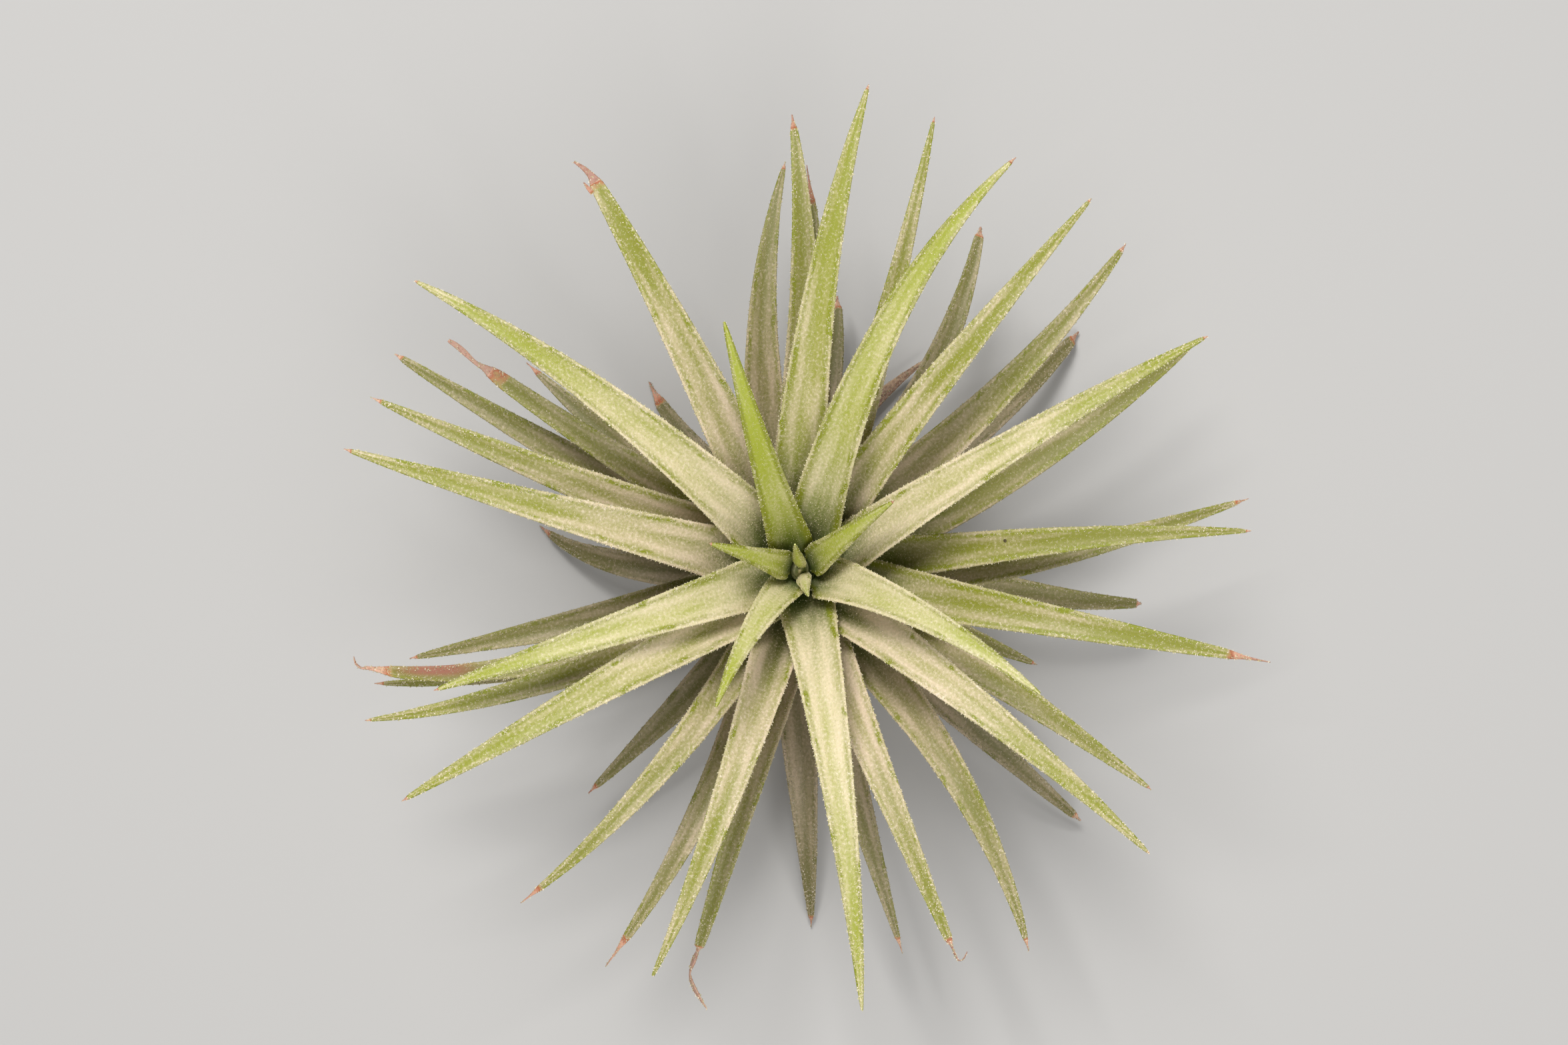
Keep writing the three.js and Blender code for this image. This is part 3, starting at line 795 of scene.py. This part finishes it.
# The flake: a dried sliver of one leaf's rim, split off just below its point and bent away from it.
FLAKE_LEAF = 19
FLAKE_POINTS = [(-23.1, 42.1, 38.95), (-23.65, 42.7, 39.1), (-24.1, 43.25, 39.35)]
FLAKE_WIDTHS = (0.55, 0.42, 0.15)
FLAKE_ROUNDNESS = 1.5
FLAKE_THICKNESS = 0.14
FLAKE_STEPS = 8

bends = smooth_line(np.column_stack([FLAKE_POINTS, FLAKE_WIDTHS]), FLAKE_STEPS)
line, broad = bends[:, :3], bends[:, 3]
along = unit(np.gradient(line, axis=0))
across = unit(np.cross(along, (0, 0, 1)))
run = np.linspace(0, 1, len(line))
flake = {
    "centre": line * MM,
    "across": across,
    "inward": np.cross(across, along),
    "along": along,
    "bend": np.full(len(line), 1 / (FLAKE_ROUNDNESS * MM)),
    "arc": np.arcsin(broad / 2 / FLAKE_ROUNDNESS),
    "thickness": np.full(len(line), FLAKE_THICKNESS * MM),
    "rim": np.full(len(line), FLAKE_THICKNESS * MM),
    "fold": 0 * run,
    "place": 0 * run + 1,
    "run": run,
    "cover": 0 * run + 0.3,
    "grains": 0 * run + 0.8,
    "dry": mix(-0.3, 1, run),
    "redness": 0 * run + 0.9,
    "flush": 0 * run,
    "age": 0 * run + FLAKE_LEAF / LIVE_LEAVES,
}
blades.append(make_blade(f"leaf_{FLAKE_LEAF}_flake", flake, FLAKE_LEAF, replaced=False))

# The growing point: the bud of the next leaves, folded into one small pointed cone in the heart.
BUD_RADIUS = 1.3
BUD_FOOT = 26
BUD_HEIGHT = 3.4
BUD_POINTEDNESS = 0.8
BUD_RINGS = 24
BUD_SIDES = 24
BUD_FOLDS = 2
BUD_FOLD_DEPTH = 0.2
BUD_TWIST = 140
BUD_TIP_RADIUS = 0.05


def ringed_mesh(name, points, sides):
    """A closed, smooth mesh from rings of points, with so many points to each ring."""
    last = len(points) - sides
    faces = []
    for first in range(0, last, sides):
        for side in range(sides):
            a, b = first + side, first + (side + 1) % sides
            faces.append((a, b, b + sides, a + sides))
    faces.append(tuple(reversed(range(sides))))
    faces.append(tuple(range(last, last + sides)))
    mesh = bpy.data.meshes.new(name)
    mesh.from_pydata(points, [], faces)
    mesh.shade_smooth()
    return mesh


bud_points = []
for ring in range(BUD_RINGS):
    up_share = ring / (BUD_RINGS - 1)
    radius = BUD_RADIUS * (1 - up_share) ** BUD_POINTEDNESS + BUD_TIP_RADIUS
    for side in range(BUD_SIDES):
        angle = 360 * side / BUD_SIDES
        turned = math.radians(BUD_FOLDS * angle + BUD_TWIST * up_share)
        fold = 1 - BUD_FOLD_DEPTH * (0.5 + 0.5 * math.cos(turned))
        bud_points.append(around(angle, radius * fold, BUD_FOOT + BUD_HEIGHT * up_share) * MM)
bud_mesh = ringed_mesh("heart_bud", bud_points, BUD_SIDES)
# The bud takes a leaf root's darker green, which is partly painted shade deep in the heart.
for layer, value in {"place": 0, "age": 0, "dry": -1, "redness": 0, "cover": 0.4, "flush": 0}.items():
    mark_points(bud_mesh, layer, [value] * len(bud_points))
mark_points(bud_mesh, "skin", np.array(bud_points) / MM)
mark_points(bud_mesh, "section", [(0.4, -1, 0)] * len(bud_points))
bud_mesh.materials.append(skin)
heart_bud = put_in_scene("heart_bud", bud_mesh)
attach(heart_bud, "root")

# The stem: a short woody cone that every leaf clasps, green under the youngest and dead and brown at its
# foot, where old sheaths have come away in rings. It stands on its foot and grows as one with its roots.
FOOT_RADIUS = 4.4
HEEL_RADIUS = 5.8
HEEL_HEIGHT = 0.9
STEM_TOP_ROUNDING = 0.4
STEM_RINGS = 90
STEM_SIDES = 72
SCAR_SPACING = 0.55
SCAR_DEPTH = 0.12
KNOT_SIZE = 1.4
KNOT_DEPTH = 0.3
STEM_BROWN = "#533e2f"
STEM_PALE = "#856c54"
STEM_GREEN = "#5c6a35"
SHEATH_EDGE = (8, 20)
FIBRE_SIZE = 0.25
FIBRE_STRETCH = 4
FIBRE_RELIEF = 0.15

profile_heights = (0, 0, HEEL_HEIGHT, STEM_SHOULDER, STEM_HEIGHT - STEM_TOP_ROUNDING, STEM_HEIGHT)
profile_radii = (0.05, FOOT_RADIUS, HEEL_RADIUS, STEM_RADIUS, STEM_TOP_RADIUS, 0.05)
run_along = np.concatenate([[0], np.cumsum(np.hypot(np.diff(profile_heights), np.diff(profile_radii)))])
run = np.linspace(0, run_along[-1], STEM_RINGS)
ring_heights = np.interp(run, run_along, profile_heights)
ring_radii = np.interp(run, run_along, profile_radii)
points = []
for height, radius in zip(ring_heights, ring_radii):
    for side in range(STEM_SIDES):
        turn_share = side / STEM_SIDES
        spiral = (height / SCAR_SPACING + turn_share) % 1
        on_round = Vector(around(360 * turn_share, radius, height))
        rough = noise.noise(on_round / KNOT_SIZE)
        inset = SCAR_DEPTH * spiral + KNOT_DEPTH * (0.5 + 0.5 * rough)
        lift = min(1, height / HEEL_HEIGHT) * min(1, radius / STEM_TOP_RADIUS)
        points.append(around(360 * turn_share, radius - inset * lift, height) * MM)
stem_mesh = ringed_mesh("stem_body", points, STEM_SIDES)
stem_body = put_in_scene("stem_body", stem_mesh)

# Dead bark: dull and fibrous, with the pale torn edges of sheaths, and live green at the top.
bark, tree = new_material("dead stem bark")
where = add(tree, "ShaderNodeTexCoord").outputs["Object"]
fibre_place = add(tree, "ShaderNodeMapping", links={"Vector": where, "Scale": (1, 1, 1 / FIBRE_STRETCH)})
fibres = add(tree, NOISE, links={"Vector": fibre_place, "Scale": 1 / (FIBRE_SIZE * MM), "Detail": 4.0})
torn = add(tree, RANGE, SMOOTH, {"Value": fibres, "From Min": 0.48, "From Max": 0.78})
brown = add(tree, MIX, COLOURS, {0: torn, 6: linear(STEM_BROWN), 7: linear(STEM_PALE)})
height = add(tree, "ShaderNodeSeparateXYZ", links={0: where}).outputs["Z"]
live_share = add(
    tree, RANGE, SMOOTH, {"Value": height, "From Min": SHEATH_EDGE[0] * MM, "From Max": SHEATH_EDGE[1] * MM}
)
bark_colour = add(tree, MIX, COLOURS, {0: live_share, 6: brown.outputs[2], 7: linear(STEM_GREEN)})
bump = add(tree, "ShaderNodeBump", links={"Strength": 0.9, "Distance": FIBRE_RELIEF * MM, "Height": fibres})
close_material(tree, {"Base Color": bark_colour.outputs[2], "Normal": bump, "Roughness": 0.85})
stem_mesh.materials.append(bark)
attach(stem_body, "root")

# The roots: wiry brown anchors that come out of the stem's foot and lie along the ground, with a few thin
# side roots. They hold the plant to a branch and carry no water.
ROOTS = [(20, 13, 40), (95, 10, -50), (160, 14.5, 30), (245, 11.5, -35), (310, 12.5, 45)]
ROOT_THICKNESS = 0.9
ROOT_POINT = 0.25
ROOT_DEPTH = 3
ROOT_START = 1.6
ELBOW_HEIGHT = 1.1
ELBOW_REACH = 0.6
ROOT_LIFT = 0.05
ROOT_ARCH = 0.2
ROOT_STEPS = 24
SIDE_ROOTS = 5
SIDE_ROOT_LENGTH = (2, 4.5)
SIDE_ROOT_THICKNESS = 0.28
SIDE_ROOT_TURNS = (35, 80)
ROOT_KNOBS = 0.14
KNOB_SPACING = 0.9
WEAR_SIZE = 0.6
WEAR_RELIEF = 0.08
ROOT_BROWN = "#4a3527"
ROOT_WORN = "#8d7355"

root_tree, given = geometry_tree(
    "wiry root",
    {"Section points": "Int", "Knob height": "Float", "Knobs per metre": "Float", "Bark": "Material"},
)
tree = root_tree
path = add(tree, "GeometryNodeMeshToCurve", links={"Mesh": given["Geometry"]})
half_width = add(tree, "GeometryNodeInputNamedAttribute", NUMBER, {"Name": "half_width"}).outputs[0]
circle = add(
    tree, "GeometryNodeCurvePrimitiveCircle", links={"Resolution": given["Section points"], "Radius": 1.0}
)
tube = add(
    tree,
    "GeometryNodeCurveToMesh",
    links={"Curve": path, "Profile Curve": circle.outputs["Curve"], "Scale": half_width, "Fill Caps": True},
)
knobs = add(tree, NOISE, links={"Scale": given["Knobs per metre"], "Detail": 2.0})
knob_level = add(tree, MATH, LESS, {0: knobs.outputs[0], 1: 0.6})
knob_height = add(tree, MATH, TIMES, {0: knob_level, 1: given["Knob height"]})
outward = add(tree, "GeometryNodeInputNormal")
knob_lift = add(tree, VECTOR_MATH, SCALED, {0: outward, 3: knob_height})
knobbly = add(tree, "GeometryNodeSetPosition", links={"Geometry": tube, "Offset": knob_lift})
smooth = add(tree, "GeometryNodeSetShadeSmooth", links={"Geometry": knobbly})
close_tree(tree, smooth, given["Bark"])

# Root bark: dull and grey-brown, worn pale in patches.
wire, tree = new_material("wiry root bark")
where = add(tree, "ShaderNodeTexCoord").outputs["Object"]
wear = add(tree, NOISE, links={"Vector": where, "Scale": 1 / (WEAR_SIZE * MM), "Detail": 4.0})
worn = add(tree, RANGE, SMOOTH, {"Value": wear, "From Min": 0.45, "From Max": 0.75})
root_colour = add(tree, MIX, COLOURS, {0: worn, 6: linear(ROOT_BROWN), 7: linear(ROOT_WORN)})
bump = add(tree, "ShaderNodeBump", links={"Strength": 0.7, "Distance": WEAR_RELIEF * MM, "Height": wear})
close_material(tree, {"Base Color": root_colour.outputs[2], "Normal": bump, "Roughness": 0.75})

chance = np.random.default_rng(11)
vertices, edges, half_widths = [], [], []


def root_strand(line, thickness, end_thickness):
    """Adds one root's middle line, which thins towards its end and lies on the ground."""
    first = len(vertices)
    half = np.linspace(thickness, end_thickness, len(line)) / 2
    line = line.copy()
    line[:, 2] = np.maximum(line[:, 2], half + ROOT_LIFT)
    vertices.extend((line * MM).tolist())
    half_widths.extend((half * MM).tolist())
    edges.extend((first + i, first + i + 1) for i in range(len(line) - 1))


for azimuth, reach, bend in ROOTS:
    lying = ROOT_THICKNESS / 2 + ROOT_LIFT
    corners = np.array([
        around(azimuth, STEM_RADIUS - ROOT_DEPTH, ROOT_START),
        around(azimuth, STEM_RADIUS + ELBOW_REACH, ELBOW_HEIGHT),
        around(azimuth + bend / 5, (STEM_RADIUS + reach) / 2, lying + ROOT_ARCH),
        around(azimuth + bend, reach, lying),
    ])
    line = smooth_line(corners, ROOT_STEPS // 3)
    line[-8:, 2] = np.linspace(line[-8, 2], ROOT_POINT / 2 + ROOT_LIFT, 8)
    root_strand(line, ROOT_THICKNESS, ROOT_POINT)
    for _ in range(SIDE_ROOTS):
        start = line[chance.integers(ROOT_STEPS // 2, len(line) - 2)]
        turned = chance.choice((-1, 1)) * chance.uniform(*SIDE_ROOT_TURNS)
        way = math.degrees(math.atan2(start[1], start[0])) + turned
        length = chance.uniform(*SIDE_ROOT_LENGTH)
        drop = np.array((0, 0, SIDE_ROOT_THICKNESS / 2 + ROOT_LIFT - start[2]))
        steps = [start, start + around(way, length * 0.5, 0) + drop * 0.7]
        steps.append(start + around(way + chance.uniform(-35, 35), length, 0) + drop)
        root_strand(smooth_line(np.array(steps), 5), SIDE_ROOT_THICKNESS, SIDE_ROOT_THICKNESS / 3)

strand_mesh = bpy.data.meshes.new("root_lines")
strand_mesh.from_pydata(vertices, edges, [])
mark_points(strand_mesh, "half_width", half_widths)
root_lines = put_in_scene("root_lines", strand_mesh)
values = {
    "Section points": 10,
    "Knob height": ROOT_KNOBS * MM,
    "Knobs per metre": 1 / (KNOB_SPACING * MM),
    "Bark": wire,
}
roots = grow(root_lines, root_tree, values, "wiry_roots")
bpy.data.objects.remove(root_lines)
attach(roots, "root")
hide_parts("stem")

# The scales: each leaf's skin is set with thousands of tiny silvery plates, which drink in water and
# give it its mealy look. They lean towards the point and stand thickest along the rims. They are drawn
# larger than life and fewer, so that they show.
FACE_SCALES_PER_MM2 = 7
RIM_SCALES_PER_MM2 = 15
RIM_SCALES_END = (0.25, 0.5)
CLUMP_SIZE = 1.6
SCALE_WIDTH = 0.11
SCALE_HEIGHT = 0.08
SCALE_LEAN = 0.6
RIM_SCALE_GROWTH = 1.7
RIM_GROWTH_END = (0.2, 0.6)
YOUNG_SCALE_GROWTH = 0.4
YOUNG_SCALES_END = 0.15
CLUMPING = (0.3, 1.7)
LEAST_TURN, MOST_TURN = (-0.3, -0.35, -1.2), (0.3, 0.25, 1.2)
LEAST_SIZE, MOST_SIZE = (0.5, 0.5, 0.5), (1.5, 1.3, 1.5)

scale_tree, given = geometry_tree(
    "leaf scales",
    {
        "Face scales per square metre": "Float",
        "Rim scales per square metre": "Float",
        "Clumps per metre": "Float",
        "Scale radius": "Float",
        "Scale height": "Float",
        "Lean": "Float",
        "Seed": "Int",
        "Scale finish": "Material",
    },
)
tree = scale_tree
grains, age, round_section, along, on_skin = (
    add(tree, "GeometryNodeInputNamedAttribute", kind, {"Name": name}).outputs[0]
    for kind, names in ((NUMBER, ("grains", "age")), (VECTOR, ("section", "along", "skin")))
    for name in names
)
share = add(tree, "ShaderNodeSeparateXYZ", links={0: round_section}).outputs["X"]
from_middle = add(tree, MATH, UNSIGNED, {0: share})
rim_distance = in_from_rim(tree, on_skin, from_middle)
clumps = add(tree, NOISE, links={"Scale": given["Clumps per metre"], "Detail": 1.0})
clump_share = add(
    tree,
    RANGE,
    links={
        "Value": clumps,
        "From Min": 0.35,
        "From Max": 0.65,
        "To Min": CLUMPING[0],
        "To Max": CLUMPING[1],
    },
)
on_face = add(tree, MATH, TIMES, {0: given["Face scales per square metre"], 1: clump_share})
at_rim = add(
    tree,
    RANGE,
    links={
        "Value": rim_distance,
        "From Min": RIM_SCALES_END[0],
        "From Max": RIM_SCALES_END[1],
        "To Min": given["Rim scales per square metre"],
        "To Max": on_face,
    },
)
density = add(tree, MATH, TIMES, {0: at_rim, 1: grains})
spots = add(
    tree,
    "GeometryNodeDistributePointsOnFaces",
    links={"Mesh": given["Geometry"], "Density": density, "Seed": given["Seed"]},
)
upright = add(tree, "FunctionNodeAlignRotationToVector", {"axis": "Z"}, {"Vector": spots.outputs["Normal"]})
forward = add(
    tree,
    "FunctionNodeAlignRotationToVector",
    {"axis": "X", "pivot_axis": "Z"},
    {"Rotation": upright, "Vector": along},
)
yaw = add(tree, "FunctionNodeRandomValue", VECTOR, {0: LEAST_TURN, 1: MOST_TURN, "Seed": given["Seed"]})
yaw_turn = add(tree, "FunctionNodeEulerToRotation", links={0: yaw})
turned = add(
    tree,
    "FunctionNodeRotateRotation",
    {"rotation_space": "LOCAL"},
    {"Rotation": forward, "Rotate By": yaw_turn},
)
size = add(tree, "FunctionNodeRandomValue", VECTOR, {0: LEAST_SIZE, 1: MOST_SIZE, "Seed": given["Seed"]})
growth = add(
    tree,
    RANGE,
    links={
        "Value": rim_distance,
        "From Min": RIM_GROWTH_END[0],
        "From Max": RIM_GROWTH_END[1],
        "To Min": RIM_SCALE_GROWTH,
        "To Max": 1.0,
    },
)
youth = add(tree, RANGE, links={"Value": age, "From Max": YOUNG_SCALES_END, "To Min": YOUNG_SCALE_GROWTH})
full_growth = add(tree, MATH, TIMES, {0: growth, 1: youth})
sized = add(tree, VECTOR_MATH, SCALED, {0: size, 3: full_growth})
plate = add(
    tree,
    "GeometryNodeMeshCone",
    links={
        "Vertices": 3,
        "Radius Top": 0.0,
        "Radius Bottom": given["Scale radius"],
        "Depth": given["Scale height"],
    },
)
on_plate = add(tree, "GeometryNodeInputPosition")
plate_height = add(tree, "ShaderNodeSeparateXYZ", links={0: on_plate}).outputs["Z"]
shift = add(tree, MATH, TIMES, {0: plate_height, 1: given["Lean"]})
lean = add(tree, "ShaderNodeCombineXYZ", links={0: shift})
leaning = add(tree, "GeometryNodeSetPosition", links={"Geometry": plate.outputs["Mesh"], "Offset": lean})
scattered = add(
    tree,
    "GeometryNodeInstanceOnPoints",
    links={"Points": spots.outputs["Points"], "Instance": leaning, "Rotation": turned, "Scale": sized},
)
tone = add(tree, "FunctionNodeRandomValue", NUMBER, {2: 0.0, 3: 1.0, "Seed": given["Seed"]})
toned = add(
    tree,
    "GeometryNodeStoreNamedAttribute",
    {"data_type": "FLOAT", "domain": "INSTANCE"},
    {"Geometry": scattered, "Name": "tone", "Value": tone.outputs[1]},
)
close_tree(tree, toned, given["Scale finish"])

# What the scales are like: dead, hollow cells full of air, so they scatter light like frost. They are
# cream-white, a little greyer on old leaves and greener on young ones.
SCALE_WHITE = "#f2e5cc"
SCALE_GREEN = "#cdc88c"
SCALE_GREY = "#9c9276"
OLD_BRIGHTNESS = 0.3

frost, tree = new_material("air-filled leaf scales")
tone, age = (
    add(tree, "ShaderNodeAttribute", {"attribute_name": name}).outputs["Fac"] for name in ("tone", "age")
)
ageing = add(tree, RANGE, links={"Value": age, "From Min": 0.1, "From Max": 0.9})
ground = add(tree, MIX, COLOURS, {0: ageing, 6: linear(SCALE_GREEN), 7: linear(SCALE_GREY)})
bright_few = add(tree, MATH, {"operation": "POWER"}, {0: tone, 1: 1.5})
dulling = add(
    tree,
    RANGE,
    links={"Value": age, "From Min": 0.4, "From Max": 1.0, "To Min": 1, "To Max": OLD_BRIGHTNESS},
)
brightness = add(tree, MATH, TIMES, {0: bright_few, 1: dulling})
scale_colour = add(tree, MIX, COLOURS, {0: brightness, 6: ground.outputs[2], 7: linear(SCALE_WHITE)})
look = {"Base Color": scale_colour.outputs[2], "Roughness": 0.5, "IOR": 1.4, "Sheen Weight": 0.3}
close_material(tree, look)

for number, blade in enumerate(blades):
    values = {
        "Face scales per square metre": FACE_SCALES_PER_MM2 / MM**2,
        "Rim scales per square metre": RIM_SCALES_PER_MM2 / MM**2,
        "Clumps per metre": 1 / (CLUMP_SIZE * MM),
        "Scale radius": SCALE_WIDTH / 2 * MM,
        "Scale height": SCALE_HEIGHT * MM,
        "Lean": SCALE_LEAN,
        "Seed": number,
        "Scale finish": frost,
    }
    scales = grow(blade, scale_tree, values, blade.name.replace("_blade", "_scales"))
    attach(scales, "root")

# The floor: a plain pale board under the plant, wide enough for its soft shadow.
FLOOR_GREY = "#bbb9b6"
FLOOR_SIDE = 4000

floor_mesh = bpy.data.meshes.new("floor")
half = FLOOR_SIDE / 2 * MM
corners = [(x * half, y * half, 0) for x, y in ((-1, -1), (1, -1), (1, 1), (-1, 1))]
floor_mesh.from_pydata(corners, [], [(0, 1, 2, 3)])
floor = put_in_scene("floor", floor_mesh)
board, tree = new_material("matt painted board")
close_material(tree, {"Base Color": linear(FLOOR_GREY), "Roughness": 0.9})
floor_mesh.materials.append(board)

# The light: one soft lamp above the top of the picture, a weak one opposite, and an even pale sky.
SKY = "#eef0f4"
SKY_STRENGTH = 0.26

# Each lamp's name, place and side in millimetres, and its power in watts.
LAMPS = (("key", (-120, 330, 680), 240, 4.9), ("fill", (160, -300, 560), 400, 1.9))

world = bpy.data.worlds.new("pale sky")
world.use_nodes = True
world.node_tree.nodes["Background"].inputs["Color"].default_value = linear(SKY)
world.node_tree.nodes["Background"].inputs["Strength"].default_value = SKY_STRENGTH
bpy.context.scene.world = world
bpy.context.scene.view_settings.view_transform = "Standard"
for name, at, side, watts in LAMPS:
    lamp_data = bpy.data.lights.new(name, "AREA")
    lamp_data.size = side * MM
    lamp_data.energy = watts
    lamp = put_in_scene(name, lamp_data)
    lamp.location = Vector(at) * MM
    lamp.rotation_euler = (-lamp.location).to_track_quat("-Z", "Y").to_euler()
